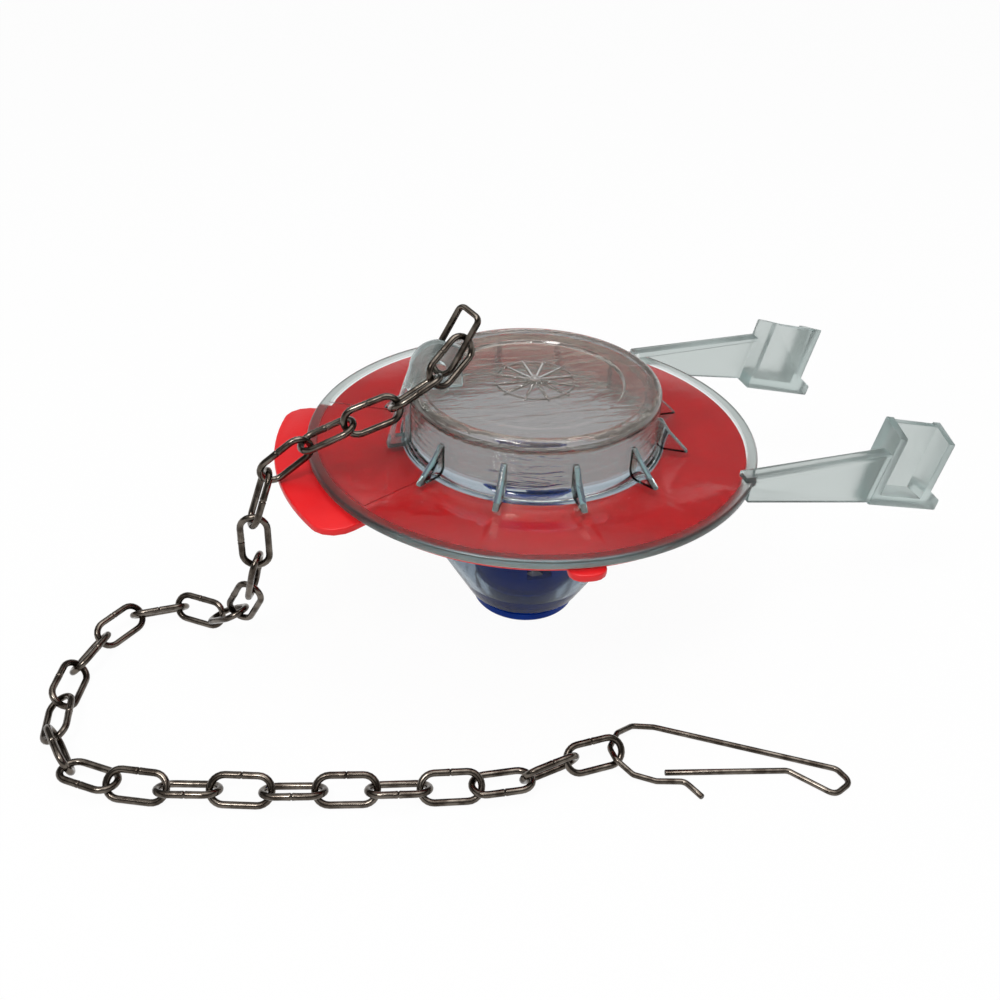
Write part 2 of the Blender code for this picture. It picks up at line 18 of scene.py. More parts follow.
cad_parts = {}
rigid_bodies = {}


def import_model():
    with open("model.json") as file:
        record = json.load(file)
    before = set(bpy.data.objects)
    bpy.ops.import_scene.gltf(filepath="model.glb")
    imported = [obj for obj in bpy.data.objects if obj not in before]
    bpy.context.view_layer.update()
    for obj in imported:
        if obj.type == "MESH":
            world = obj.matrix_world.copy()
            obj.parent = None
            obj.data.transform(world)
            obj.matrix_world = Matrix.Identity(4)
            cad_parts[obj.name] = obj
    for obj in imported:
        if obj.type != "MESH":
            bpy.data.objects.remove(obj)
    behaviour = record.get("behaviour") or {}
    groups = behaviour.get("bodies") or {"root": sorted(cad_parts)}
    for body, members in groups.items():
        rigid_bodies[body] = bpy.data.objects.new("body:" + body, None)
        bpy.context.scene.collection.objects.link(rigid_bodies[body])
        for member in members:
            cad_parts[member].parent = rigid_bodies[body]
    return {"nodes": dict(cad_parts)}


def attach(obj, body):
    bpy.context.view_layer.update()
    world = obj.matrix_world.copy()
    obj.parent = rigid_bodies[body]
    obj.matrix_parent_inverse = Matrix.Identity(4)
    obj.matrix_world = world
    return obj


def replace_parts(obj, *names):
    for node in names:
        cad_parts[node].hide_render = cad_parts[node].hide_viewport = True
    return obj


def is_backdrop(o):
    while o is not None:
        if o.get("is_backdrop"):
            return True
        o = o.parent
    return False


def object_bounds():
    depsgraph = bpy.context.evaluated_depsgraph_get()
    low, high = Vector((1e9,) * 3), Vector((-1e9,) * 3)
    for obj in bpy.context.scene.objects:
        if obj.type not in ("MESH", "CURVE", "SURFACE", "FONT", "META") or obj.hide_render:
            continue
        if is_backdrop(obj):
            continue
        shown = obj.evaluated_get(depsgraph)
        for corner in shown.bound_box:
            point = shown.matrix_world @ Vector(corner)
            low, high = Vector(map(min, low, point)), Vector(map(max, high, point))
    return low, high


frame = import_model()
cad_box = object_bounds()
MM = 0.001

# %% [markdown]
# ## The camera
#
# The photo was taken from a little above and to the left, with a short lens and a slight roll. The camera
# comes first, because every later choice is judged through it. Its place was fitted to points of the photo,
# such as the rim, the hinge ears and the chain, and it is written here as a place and three angles.

# %% The camera
CAMERA_PLACE = (-66.8, -190.7, 158.7)
CAMERA_ANGLES = (56.64, -1.88, -16.24)
CAMERA_LENS = 37.8
CAMERA_NEAR = 10.0


def add_camera():
    camera = bpy.data.objects.new("camera", bpy.data.cameras.new("camera"))
    camera.data.lens = CAMERA_LENS
    camera.data.clip_start = CAMERA_NEAR * MM
    camera.location = Vector(CAMERA_PLACE) * MM
    camera.rotation_euler = [math.radians(angle) for angle in CAMERA_ANGLES]
    bpy.context.scene.collection.objects.link(camera)
    bpy.context.scene.camera = camera


add_camera()
print("camera at", CAMERA_PLACE, "mm, looking", CAMERA_ANGLES, "degrees")

# %% [markdown]
# ## Shader maths as Python
#
# A finish is a tree of nodes. Written one node at a time it is hard to read, so the class Signal wraps the
# output of a node, and Python's own operators add Math nodes to it: 1 - mask is a node, and so is
# rough * mask. Nodes holds a tree, and its node method adds any other kind of node, with its settings first
# and its inputs after them. A Finish is the tree of one material.


# %% Signals and finishes
class Signal:
    """One output of a node, on which arithmetic adds Math nodes."""

    def __init__(self, owner, socket):
        self.owner = owner
        self.socket = socket

    def maths(self, operation, *terms):
        return self.owner.node("ShaderNodeMath", {"operation": operation}, dict(enumerate(terms)))

    def __add__(self, other):
        return self.maths("ADD", self, other)

    def __rsub__(self, other):
        return self.maths("SUBTRACT", other, self)

    def __mul__(self, other):
        return self.maths("MULTIPLY", self, other)

    def above(self, level):
        return self.maths("GREATER_THAN", self, level)

    def below(self, level):
        return self.maths("LESS_THAN", self, level)

    def span(self, low, high):
        """The signal brought from low..high to 0..1 and held there."""
        return self.owner.node("ShaderNodeMapRange", {"clamp": True}, {"Value": self, 1: low, 2: high})

    __radd__ = __add__


class Nodes:
    """A node tree, to which nodes are added by their type, settings and inputs."""

    def __init__(self, tree):
        self.tree = tree

    def feed(self, socket, value):
        if isinstance(value, Signal):
            self.tree.links.new(value.socket, socket)
        else:
            socket.default_value = value

    def node(self, kind, settings=None, inputs=None, output=0):
        made = self.tree.nodes.new(kind)
        for name, value in (settings or {}).items():
            setattr(made, name, value)
        for name, value in (inputs or {}).items():
            self.feed(made.inputs[name], value)
        return Signal(self, made.outputs[output])

    def ray(self, *kinds):
        """1 for a ray of any of the named kinds, and 0 for the rest."""
        seen = self.node("ShaderNodeLightPath", output=f"Is {kinds[0]} Ray")
        for kind in kinds[1:]:
            seen = seen.maths("MAXIMUM", seen, self.node("ShaderNodeLightPath", output=f"Is {kind} Ray"))
        return seen


class Finish(Nodes):
    """One material, built round its Principled BSDF."""

    def __init__(self, name, **sockets):
        self.material = bpy.data.materials.new(name)
        self.material.use_nodes = True
        super().__init__(self.material.node_tree)
        self.shader = self.tree.nodes["Principled BSDF"]
        self.out = self.tree.nodes["Material Output"]
        for socket, value in sockets.items():
            self.shader.inputs[socket.replace("_", " ")].default_value = value

    def here(self, stretch=(1, 1, 1)):
        """The place on the piece in metres, with each axis stretched."""
        place = self.node("ShaderNodeTexCoord", output="Object")
        return self.node("ShaderNodeVectorMath", {"operation": "MULTIPLY"}, {0: place, 1: stretch})

    def from_axis(self):
        """The distance to the object's upright axis in metres."""
        flat = self.here((1, 1, 0))
        return self.node("ShaderNodeVectorMath", {"operation": "LENGTH"}, {0: flat}, output=1)

    def grain(self, scale, detail=3.0, place=None, distortion=0.0):
        place = place or self.here()
        inputs = {"Vector": place, "Scale": scale, "Detail": detail, "Distortion": distortion}
        return self.node("ShaderNodeTexNoise", {"normalize": True}, inputs)

    def mixed(self, share, first, second):
        inputs = {"Factor": share, 6: first, 7: second}
        return self.node("ShaderNodeMix", {"data_type": "RGBA"}, inputs, output=2)

    def relief(self, height, depth):
        """Bumps the surface by a signal of 0..1, whose full height is depth in millimetres."""
        inputs = {"Strength": 1.0, "Distance": depth * MM, "Height": height}
        self.feed(self.shader.inputs["Normal"], self.node("ShaderNodeBump", None, inputs))


print("finishes are ready to be made")

# %% [markdown]
# ## Clear plastic
#
# The float and its cap are clear styrene-like plastic. One glass-like shader could do for all of it, but in
# the photo its parts look different, so it has four finishes. The disc, the drum's wall and the cap bend
# light with the plastic's own index of about 1.49. The ribs and the lug are hazy: their index is lower, and a
# share of their surface is plain. The cone's index is close to 1, so that the dial shows nearly straight
# through it. A thick edge looks teal, because light that runs a long way through the plastic loses its red,
# and a volume that absorbs does that by itself.
#
# The drum's wall and the cap have a beige tint, which is a painted reflection of a warm surrounding. The rim
# and the arms past the seal are frosted and duller than the disc, and their greyer tint is painted shade of
# the floor seen through them. The cone's dark tint is painted shade too, of the disc over the dial inside it.
# Masks
# find the wall and the rim by the height and by the distance to the axis. Moulded walls are never quite flat:
# the ripple on the drum's wall breaks up what is seen through it, and the cap has a long wavy grain.

# %% Clear plastic: tints, indices and masks
CLEAR_TINT = (0.97, 0.985, 0.98, 1)
# Painted reflection: the drum's wall's beige tint stands in for a warm surrounding mirrored in it.
WALL_REFLECTION_TINT = (0.64, 0.58, 0.52, 1)
# Painted shade: the greyer tint past the seal stands in for the shaded floor seen through the rim and the
# arms.
RIM_SHADE_TINT = (0.59, 0.63, 0.615, 1)
# Painted reflection: the cap's beige tint stands in for a warm surrounding mirrored in it, as on the drum's
# wall.
CAP_REFLECTION_TINT = (0.77, 0.69, 0.64, 1)
# Painted shade: the cone's dark tint stands in for the disc's shade on the dial inside it.
CONE_SHADE_TINT = (0.43, 0.47, 0.53, 1)
FIN_TINT = (0.80, 0.88, 0.88, 1)
CLEAR_DEPTH = (0.25, 0.66, 0.64, 1)
CLEAR_ABSORPTION = 24.0
CLEAR_INDEX = 1.49
FIN_INDEX = 1.42
CONE_INDEX = 1.12
CAP_CLEARNESS = 0.92
FIN_CLEARNESS = 0.86
DRUM_WALL_BAND = (46.5 * MM, 55.2 * MM, 28.4 * MM)
# The radius at which the frost and the painted shade past the seal begin.
FROST_AND_SHADE_FROM = (46.5 * MM, 47.0 * MM)


def clear_finish(name, tint, clearness, index):
    finish = Finish(name, Base_Color=tint, IOR=index, Transmission_Weight=clearness)
    inputs = {"Color": CLEAR_DEPTH, "Density": CLEAR_ABSORPTION}
    finish.feed(finish.out.inputs["Volume"], finish.node("ShaderNodeVolumeAbsorption", None, inputs))
    return finish


def on_drum_wall(finish):
    """1 on the drum's wall and 0 elsewhere, from the height and the distance to the axis."""
    low, high, reach = DRUM_WALL_BAND
    height = finish.node("ShaderNodeSeparateXYZ", None, {0: finish.here()}, output=2)
    return height.above(low) * height.below(high) * finish.from_axis().below(reach)


def past_seal(finish):
    """0 over the seal, and 1 past its edge, on the disc's rim and the arms."""
    return finish.from_axis().span(*FROST_AND_SHADE_FROM)


# %% Clear plastic: gloss, colour and relief
def smeared(finish, roughness, frost=0.0):
    """Uneven gloss and, where frost is given, a frosted skin past the seal."""
    smear = finish.grain(90.0, detail=2.0).span(0.35, 0.75)
    rough = smear * roughness + roughness / 2
    if frost:
        rough = rough + past_seal(finish) * frost
    finish.feed(finish.shader.inputs["Roughness"], rough)
    return finish


def tinted_with_painted_light(finish):
    """Painted reflection as a warm tint on the drum's wall, and painted shade as a greyer tint past the seal.
    """
    wall = finish.mixed(on_drum_wall(finish), CLEAR_TINT, WALL_REFLECTION_TINT)
    finish.feed(finish.shader.inputs["Base Color"], finish.mixed(past_seal(finish), wall, RIM_SHADE_TINT))
    return finish


def rippled(finish, plain_depth, wall_depth=0.0):
    """Fine unevenness and, where wall_depth is given, flat streaks on the drum's wall, in millimetres."""
    height = finish.grain(260.0, detail=2.0) * plain_depth
    if wall_depth:
        streaks = finish.grain(240.0, detail=4.0, place=finish.here((0.35, 0.35, 3.4)), distortion=0.6)
        height = streaks * on_drum_wall(finish) * wall_depth + height
    finish.relief(height, 1.0)
    return finish


def grained(finish, depth):
    """Long wavy ripples across the cap, like the grain of wood."""
    waves = finish.grain(210.0, detail=3.0, place=finish.here((0.30, 1.5, 1.0)), distortion=1.2)
    finish.relief(waves, depth)
    return finish


clear = smeared(clear_finish("clear_plastic", CLEAR_TINT, 1.0, CLEAR_INDEX), 0.05, frost=0.26)
clear = rippled(tinted_with_painted_light(clear), plain_depth=0.03, wall_depth=0.22)
clear_fins = smeared(clear_finish("clear_fins", FIN_TINT, FIN_CLEARNESS, FIN_INDEX), 0.13)
# The cap's beige tint is a painted reflection.
clear_cap = smeared(clear_finish("clear_cap", CAP_REFLECTION_TINT, CAP_CLEARNESS, CLEAR_INDEX), 0.09)
clear_cap = grained(clear_cap, depth=0.15)
# The cone's dark tint is painted shade over the dial.
clear_cone = smeared(clear_finish("clear_cone", CONE_SHADE_TINT, 1.0, CONE_INDEX), 0.12)
clear_cone = rippled(clear_cone, plain_depth=0.04)
print("clear finishes:", [finish.material.name for finish in (clear, clear_fins, clear_cap, clear_cone)])

# %% [markdown]
# ## Red rubber and blue plastic
#
# The seal is soft moulded rubber with a satin skin, and its deep red has faint darker clouds. The dial is a
# deep blue moulding. Its shine is kept low, because it stands in a clear cone that has a shine of its own.
# Both take fine relief from noise, so that their highlights break up as real ones do.

# %% Red rubber and blue plastic
RUBBER_RED = (0.72, 0.003, 0.006, 1)
RUBBER_DARK = (0.60, 0.002, 0.006, 1)
RUBBER_SHINE = 0.45
DIAL_BLUE = (0.002, 0.055, 0.420, 1)
DIAL_DEEP = (0.001, 0.030, 0.280, 1)
DIAL_SHINE = 0.1


def rubber_finish():
    finish = Finish("red_rubber", Specular_IOR_Level=RUBBER_SHINE)
    cloud = finish.grain(70.0, detail=3.0)
    colour = finish.mixed(cloud.span(0.35, 0.75), RUBBER_RED, RUBBER_DARK)
    finish.feed(finish.shader.inputs["Base Color"], colour)
    fine = finish.grain(2600.0, detail=2.0)
    finish.feed(finish.shader.inputs["Roughness"], fine * 0.12 + 0.34)
    finish.relief(cloud * 0.6 + fine * 0.4, 0.05)
    return finish


def dial_finish():
    finish = Finish("blue_plastic", Specular_IOR_Level=DIAL_SHINE)
    cloud = finish.grain(160.0, detail=3.0)
    colour = finish.mixed(cloud.span(0.3, 0.8), DIAL_BLUE, DIAL_DEEP)
    finish.feed(finish.shader.inputs["Base Color"], colour)
    finish.feed(finish.shader.inputs["Roughness"], cloud * 0.15 + 0.2)
    finish.relief(finish.grain(500.0, detail=2.0), 0.02)
    return finish


rubber = rubber_finish()
blue = dial_finish()
print("solid finishes:", rubber.material.name, blue.material.name)

# %% [markdown]
# ## Steel wire
#
# The chain and the clip are drawn steel that has browned a little. Drawn wire has fine scratches and patches
# of oxide, so the colour goes between a brown and a grey, and the patches are also rougher.

# %% Steel wire
STEEL_GREY = (0.145, 0.125, 0.105, 1)
STEEL_BROWN = (0.050, 0.040, 0.032, 1)


def steel_finish():
    finish = Finish("steel_wire", Metallic=1.0)
    oxide = finish.grain(420.0, detail=4.0).span(0.38, 0.62)
    scratch = finish.grain(3200.0, detail=2.0)
    finish.feed(finish.shader.inputs["Base Color"], finish.mixed(oxide, STEEL_GREY, STEEL_BROWN))
    finish.feed(finish.shader.inputs["Roughness"], oxide * 0.12 + scratch * 0.06 + 0.09)
    finish.relief(oxide * 0.7 + scratch * 0.3, 0.02)
    return finish


steel = steel_finish()
print("metal finish:", steel.material.name)

# %% [markdown]
# ## Making a mesh
#
# Nearly every piece starts as one of three forms: a section spun about the axis, an outline given thickness,
# or a bar along a path. The helpers below make the first two, and the bar comes with the wire. Pieces are
# then joined and cut with exact booleans, which are applied at once, so that what rides on the frame is a
# plain mesh.


# %% Points and meshes
def finished(name, bm, finish, sharp=35):
    """Makes an object of a bmesh drawn in millimetres."""
    bmesh.ops.scale(bm, vec=(MM, MM, MM), verts=bm.verts[:])
    bmesh.ops.recalc_face_normals(bm, faces=bm.faces[:])
    mesh = bpy.data.meshes.new(name)
    bm.to_mesh(mesh)
    bm.free()
    mesh.materials.append(finish.material)
    mesh.shade_smooth()
    mesh.set_sharp_from_angle(angle=math.radians(sharp))
    piece = bpy.data.objects.new(name, mesh)
    bpy.context.scene.collection.objects.link(piece)
    return piece


def spoke(radius, degrees):
    """The point at a distance and an angle from the axis."""
    turn = math.radians(degrees)
    return radius * math.cos(turn), radius * math.sin(turn)


def arc(centre, radius, start, end, steps):
    """Points of an arc about a 2-D centre, with its angles in degrees and both ends included."""
    points = [spoke(radius, start + (end - start) * i / steps) for i in range(steps + 1)]
    return [(centre[0] + x, centre[1] + y) for x, y in points]


# %% Turned and flat forms
MERGE = 1e-4


def turned(name, profile, finish, segments=144, closed=True):
    """Spins a section of (radius, height) points about the axis."""
    bm = bmesh.new()
    verts = [bm.verts.new((radius, 0, height)) for radius, height in profile]
    pairs = list(zip(verts, verts[1:]))
    if closed:
        pairs.append((verts[-1], verts[0]))
    edges = [bm.edges.new(pair) for pair in pairs]
    spin = {"cent": (0, 0, 0), "axis": (0, 0, 1), "angle": math.tau, "steps": segments, "use_merge": True}
    bmesh.ops.spin(bm, geom=verts + edges, **spin)
    bmesh.ops.remove_doubles(bm, verts=bm.verts[:], dist=MERGE)
    return finished(name, bm, finish)


def lofted(name, rings, finish):
    """A closed solid through outlines that match point for point, one after another."""
    bm = bmesh.new()
    loops = [[bm.verts.new(point) for point in ring] for ring in rings]
    bm.faces.new(loops[0])
    bm.faces.new(loops[-1])
    count = len(loops[0])
    for low, high in zip(loops, loops[1:]):
        for i in range(count):
            j = (i + 1) % count
            bm.faces.new((low[i], low[j], high[j], high[i]))
    return finished(name, bm, finish)


def upright(name, outline, near_y, far_y, finish):
    """An outline in X and Z given thickness along Y."""
    return lofted(name, [[(x, y, z) for x, z in outline] for y in (near_y, far_y)], finish)


def level(name, outline, low_z, high_z, finish):
    """An outline in X and Y given thickness along Z."""
    return lofted(name, [[(x, y, z) for x, y in outline] for z in (low_z, high_z)], finish)


# %% Rounding, joining and cutting
BEVEL_ANGLE = math.radians(25)


def rounded(piece, width, segments=2):
    """Rounds a piece's sharp edges with a bevel, width in millimetres."""
    bevel = piece.modifiers.new("bevel", "BEVEL")
    bevel.width = width * MM
    bevel.segments = segments
    bevel.limit_method = "ANGLE"
    bevel.angle_limit = BEVEL_ANGLE
    bevel.use_clamp_overlap = True
    return piece


def turned_about(piece, degrees):
    piece.rotation_euler.z = math.radians(degrees)
    return piece


def applied(piece, sharp=35):
    """Makes a piece's modifiers part of its mesh."""
    bpy.context.view_layer.update()
    seen = piece.evaluated_get(bpy.context.evaluated_depsgraph_get())
    mesh = bpy.data.meshes.new_from_object(seen)
    piece.modifiers.clear()
    piece.data = mesh
    mesh.shade_smooth()
    mesh.set_sharp_from_angle(angle=math.radians(sharp))
    return piece


def combined(piece, tools, operation):
    """Joins tools to a piece or cuts them from it, and removes them."""
    for tool in tools:
        step = piece.modifiers.new(tool.name, "BOOLEAN")
        step.operation = operation
        step.object = tool
    applied(piece)
    for tool in tools:
        bpy.data.objects.remove(tool, do_unlink=True)
    return piece


print("turned and flat forms are ready")

# %% [markdown]
# ## The float
#
# The float is a single moulding: a disc with a cone below it and a drum wall above. It is drawn here as two
# sections, one with the disc and the drum's wall and one with the cone, because the cone takes a finish of its
# own. Each section goes up the outside and down the inside, and is spun. The disc's rim is rounded, because
# the bright line round it in the photo is the light caught by that round.

# %% The turned body and the cone of the float
DISC_TOP = 45.0
DISC_BOTTOM = 43.0
DISC_RADIUS = 49.0
DRUM_RADIUS = 27.3
DRUM_TOP = 55.0
DRUM_WALL = 1.5
RIM_ROUND = 0.6
COVE = 2.0
CONE_FOOT = (13.9, 4.0)
CONE_FLARE = 0.56
CONE_WALL = 1.7
NECK_RADIUS = 28.4
NECK_END = 41.0
NECK_GAP = 0.02
LIP_FOOT = 38.7
LIP = [(0.9, 39.6), (1.1, 39.9), (1.1, 40.5), (0, 40.6)]
BORE_RADIUS = 11.6
BORE_TOP = 7.5


def cone_radius(height):
    return CONE_FOOT[0] + CONE_FLARE * (height - CONE_FOOT[1])


def float_section():
    """The disc, the drum's wall and the top of the neck."""
    low = arc((DISC_RADIUS - RIM_ROUND, DISC_BOTTOM + RIM_ROUND), RIM_ROUND, -90, 0, 4)
    high = arc((DISC_RADIUS - RIM_ROUND, DISC_TOP - RIM_ROUND), RIM_ROUND, 0, 90, 4)
    cove = arc((DRUM_RADIUS + COVE, DISC_TOP + COVE), COVE, -90, -180, 8)
    drum_inside = DRUM_RADIUS - DRUM_WALL
    wall = [(DRUM_RADIUS, DRUM_TOP), (drum_inside, DRUM_TOP), (drum_inside, DISC_TOP)]
    neck_inside = NECK_RADIUS - CONE_WALL
    neck_foot = NECK_END + NECK_GAP
    neck = [(neck_inside, DISC_BOTTOM), (neck_inside, neck_foot)]
    return [(NECK_RADIUS, neck_foot), (NECK_RADIUS, DISC_BOTTOM)] + low + high + cove + wall + neck


def cone_section():
    """The cone, the straight neck on it and the lip that holds the seal."""
    turn = CONE_FOOT[1] + (NECK_RADIUS - CONE_FOOT[0]) / CONE_FLARE
    neck_inside = NECK_RADIUS - CONE_WALL
    outside = [CONE_FOOT, (NECK_RADIUS, turn), (NECK_RADIUS, LIP_FOOT)]
    lip = [(NECK_RADIUS + out, height) for out, height in LIP]
    top = [(NECK_RADIUS, NECK_END), (neck_inside, NECK_END)]
    inside = [(neck_inside, turn), (cone_radius(BORE_TOP) - CONE_WALL, BORE_TOP)]
    bore = [(BORE_RADIUS, BORE_TOP), (BORE_RADIUS, CONE_FOOT[1])]
    return outside + lip + top + inside + bore


body = turned("clear_float", float_section(), clear)
cone = turned("clear_cone", cone_section(), clear_cone)
print("float body:", len(body.data.polygons), "faces, cone:", len(cone.data.polygons))

# %% [markdown]
# ## Ribs, lug and arms
#
# Eleven small ribs stiffen the drum. The twelfth place belongs to the chain lug, a fin with a hole in it. Two
# arms run back to the hinge ears, each a block with a channel that opens outwards and upwards. Each of these
# is an outline with thickness. Its edges are rounded before it is joined, since a moulded edge is never sharp,
# and its root is sunk a little into what it is joined to.

# %% Ribs and lug
SINK = 0.5
CUT_REACH = 3.0
RIB_PLACES = 12
LUG_PLACE = 6
RIB_REACH = 7.1
RIB_HEIGHT = 7.2
RIB_HALF = 0.65
RIB_TOE = 0.5
RIB_WAIST = (2.6, 4.3)
RIB_TIP = (0.7, 0.3)
RIB_ROUND = 0.35
LUG_HALF = 1.2
LUG_FOOT_X = -32.5
LUG_SHOULDER = (-29.8, 55.0)
LUG_CROWN = (-21.4, 62.3)
LUG_CROWN_RADIUS = 5.8
LUG_BACK = [(-16.2, 66.2), (-16.2, 57.6), (-27.6, 57.6), (-27.6, 54.5)]
LUG_WINDOW = [(-28.6, 47.0), (-30.9, 47.0), (-30.1, 53.2), (-28.6, 53.2)]
HOLE_X = -21.5
HOLE_Z = 61.2
HOLE_RADIUS = 2.3
EDGE_ROUND = 0.3


def ribs():
    root = DRUM_RADIUS - SINK
    outline = [
        (root, DISC_TOP - SINK),
        (DRUM_RADIUS + RIB_REACH, DISC_TOP - SINK),
        (DRUM_RADIUS + RIB_REACH - RIB_TOE, DISC_TOP + RIB_TOE),
        (DRUM_RADIUS + RIB_WAIST[0], DISC_TOP + RIB_WAIST[1]),
        (DRUM_RADIUS + RIB_TIP[0], DISC_TOP + RIB_HEIGHT - RIB_TIP[1]),
        (root, DISC_TOP + RIB_HEIGHT),
    ]
    made = []
    for i in range(RIB_PLACES):
        if i != LUG_PLACE:
            rib = rounded(upright(f"rib_{i}", outline, -RIB_HALF, RIB_HALF, clear), RIB_ROUND)
            made.append(turned_about(rib, 30 * i))
    return made


def lug():
    root = -DRUM_RADIUS + SINK
    crown = arc(LUG_CROWN, LUG_CROWN_RADIUS, 176, 88, 8)
    foot = [(root, DISC_TOP - SINK), (LUG_FOOT_X, DISC_TOP - SINK)]
    outline = foot + [LUG_SHOULDER] + crown + LUG_BACK + [(root, LUG_BACK[-1][1])]
    return rounded(upright("lug", outline, -LUG_HALF, LUG_HALF, clear), EDGE_ROUND)


def lug_cuts():
    hole = arc((HOLE_X, HOLE_Z), HOLE_RADIUS, 0, 345, 23)
    return [
        upright("lug_hole", hole, -CUT_REACH, CUT_REACH, clear),
        upright("lug_window", LUG_WINDOW, -CUT_REACH, CUT_REACH, clear),
    ]


combined(body, ribs(), "UNION")
combined(body, [lug()], "UNION")
combined(body, lug_cuts(), "DIFFERENCE")
print("ribs and lug joined:", len(body.data.polygons), "faces")

# %% Arms
ARM_Y = 31.5
ARM_THICKNESS = 2.0
ARM_ROOT = 36.4
ARM_BAND = (44.0, 46.0)
ARM_HEEL = (37.2, 39.9)
ARM_TIP = 12.3
ARM_FOOT = 0.5
STRIP_ROOT = 36.0
STRIP_BAND = (44.5, 46.2)
STRIP_HALF = 0.5
STRIP_WIDTH = 3.2
STRIP_PROUD = 0.1
THIN_ROUND = 0.25
EAR_PLACE = (67.2, 34.9)
EAR_TILT = math.radians(13.2)
EAR_WALL = 2.0


def ear_point(along, up):
    """A point of the ear, measured along the arm and square to it."""
    x = EAR_PLACE[0] + along * math.cos(EAR_TILT) + up * math.sin(EAR_TILT)
    return x, EAR_PLACE[1] - along * math.sin(EAR_TILT) + up * math.cos(EAR_TILT)


def arm(side):
    """The upright web of an arm, and the strip that lies along its top."""
    tip_x, tip_z = ear_point(EAR_WALL / 2, ARM_TIP)
    low, high = ARM_BAND
    heel_x, heel_z = ARM_HEEL
    web = [
        (ARM_ROOT, low), (heel_x, low), (heel_x, heel_z),
        ear_point(EAR_WALL / 2, ARM_FOOT), (tip_x, tip_z), (ARM_ROOT, high),
    ]
    low, high = STRIP_BAND
    tip = [(tip_x, tip_z - STRIP_HALF), (tip_x, tip_z + STRIP_HALF)]
    strip = [(STRIP_ROOT, low)] + tip + [(STRIP_ROOT, high)]
    web = upright(f"web_{side}", web, side * (ARM_Y - ARM_THICKNESS), side * ARM_Y, clear)
    near, far = side * (ARM_Y - STRIP_WIDTH), side * (ARM_Y + STRIP_PROUD)
    strip = upright(f"strip_{side}", strip, near, far, clear)
    return [rounded(web, THIN_ROUND), rounded(strip, EDGE_ROUND)]


# %% Hinge ears
EAR_LENGTH = 15.1
EAR_HEIGHT = 18.4
EAR_DROP = 1.9
EAR_DEPTH = 6.9
EAR_OUTER = ARM_Y + 0.2
EAR_INNER = EAR_OUTER - EAR_DEPTH
EAR_TOE = (18.6, 2.6)
EAR_HEEL = 4.6
CHANNEL_FLOOR = 2.6
CHANNEL_INNER_WALL = 1.8
CHANNEL_LIP = 0.5
CHANNEL_ROOM = 2.0


def ear(side):
    rings = []
    toe_x, toe_z = EAR_TOE
    for y, height in ((EAR_INNER, EAR_HEIGHT), (EAR_OUTER, EAR_HEIGHT - EAR_DROP)):
        foot = [(0, 0), (toe_x, 0), (toe_x, toe_z), (EAR_LENGTH, EAR_HEEL)]
        flat = [ear_point(along, up) for along, up in foot + [(EAR_LENGTH, height), (0, height)]]
        rings.append([(x, side * y, z) for x, z in flat])
    return rounded(lofted(f"ear_{side}", rings, clear), EDGE_ROUND)


def ear_channel(side):
    """What is cut from an ear: a channel that opens outwards and upwards."""
    near, far = EAR_INNER - CHANNEL_ROOM, EAR_OUTER + CHANNEL_ROOM
    wall, lip, top = EAR_INNER + CHANNEL_INNER_WALL, EAR_HEIGHT - CHANNEL_LIP, EAR_HEIGHT + CHANNEL_ROOM
    section = [(near, lip), (wall, lip), (wall, CHANNEL_FLOOR), (far, CHANNEL_FLOOR), (far, top), (near, top)]
    rings = []
    for along in (EAR_WALL, EAR_LENGTH - EAR_WALL):
        flat = [(*ear_point(along, up), side * y) for y, up in section]
        rings.append([(x, y, z) for x, z, y in flat])
    return rounded(lofted(f"channel_{side}", rings, clear), THIN_ROUND)


for side in (1, -1):
    combined(body, arm(side) + [ear(side)], "UNION")
    combined(body, [ear_channel(side)], "DIFFERENCE")
print("arms and ears joined:", len(body.data.polygons), "faces")

# %% [markdown]
# A sector is engraved in the disc's top on the lug's side: two straight grooves that run outwards, and a
# curved one that joins them near the rim. A groove is a shallow cut, and shows because its walls bend the red
# beneath it.

# %% The engraved sector
GROOVE_HALF_WIDTH = 0.2
GROOVE_DEPTH = 0.12
GROOVE_REACH = (31.0, 47.0)
GROOVE_ENDS = (152, 208)
GROOVE_STEPS = 24
GROOVE_ROOM = 1.0


def grooves():
    floor, top = DISC_TOP - GROOVE_DEPTH, DISC_TOP + GROOVE_ROOM
    near, far = GROOVE_REACH
    first, last = GROOVE_ENDS
    half = GROOVE_HALF_WIDTH
    straight = [(near, -half), (far, -half), (far, half), (near, half)]
    made = []
    for i, angle in enumerate(GROOVE_ENDS):
        made.append(turned_about(level(f"groove_{i}", straight, floor, top, clear), angle))
    outer = arc((0, 0), far, first, last, GROOVE_STEPS)
    inner = arc((0, 0), far - 2 * half, last, first, GROOVE_STEPS)
    made.append(level("groove_arc", outer + inner, floor, top, clear))
    return made


for cut in grooves():
    combined(body, [cut], "DIFFERENCE")
print("float:", len(body.data.polygons), "faces")

# %% [markdown]
# The ribs and the lug look hazier in the photo than the disc. They are one moulding with it, so their faces
# take the hazy finish as a second material of the same mesh, picked by where they are.

# %% The hazy fins, and what the float stands for
FIN_RISE = 0.15
FIN_ROOM = 1.0


def is_fin(face):
    """Whether a face is on a rib or the lug, and not on the disc, the drum or the cove between them."""
    centre = face.center / MM
    reach = math.hypot(centre.x, centre.y) - DRUM_RADIUS - FIN_RISE
    rise = centre.z - DISC_TOP - FIN_RISE
    beside_drum = 0 < reach < RIB_REACH + FIN_ROOM and rise > 0
    return beside_drum and (reach > COVE or rise > COVE) or centre.z > DRUM_TOP + FIN_RISE


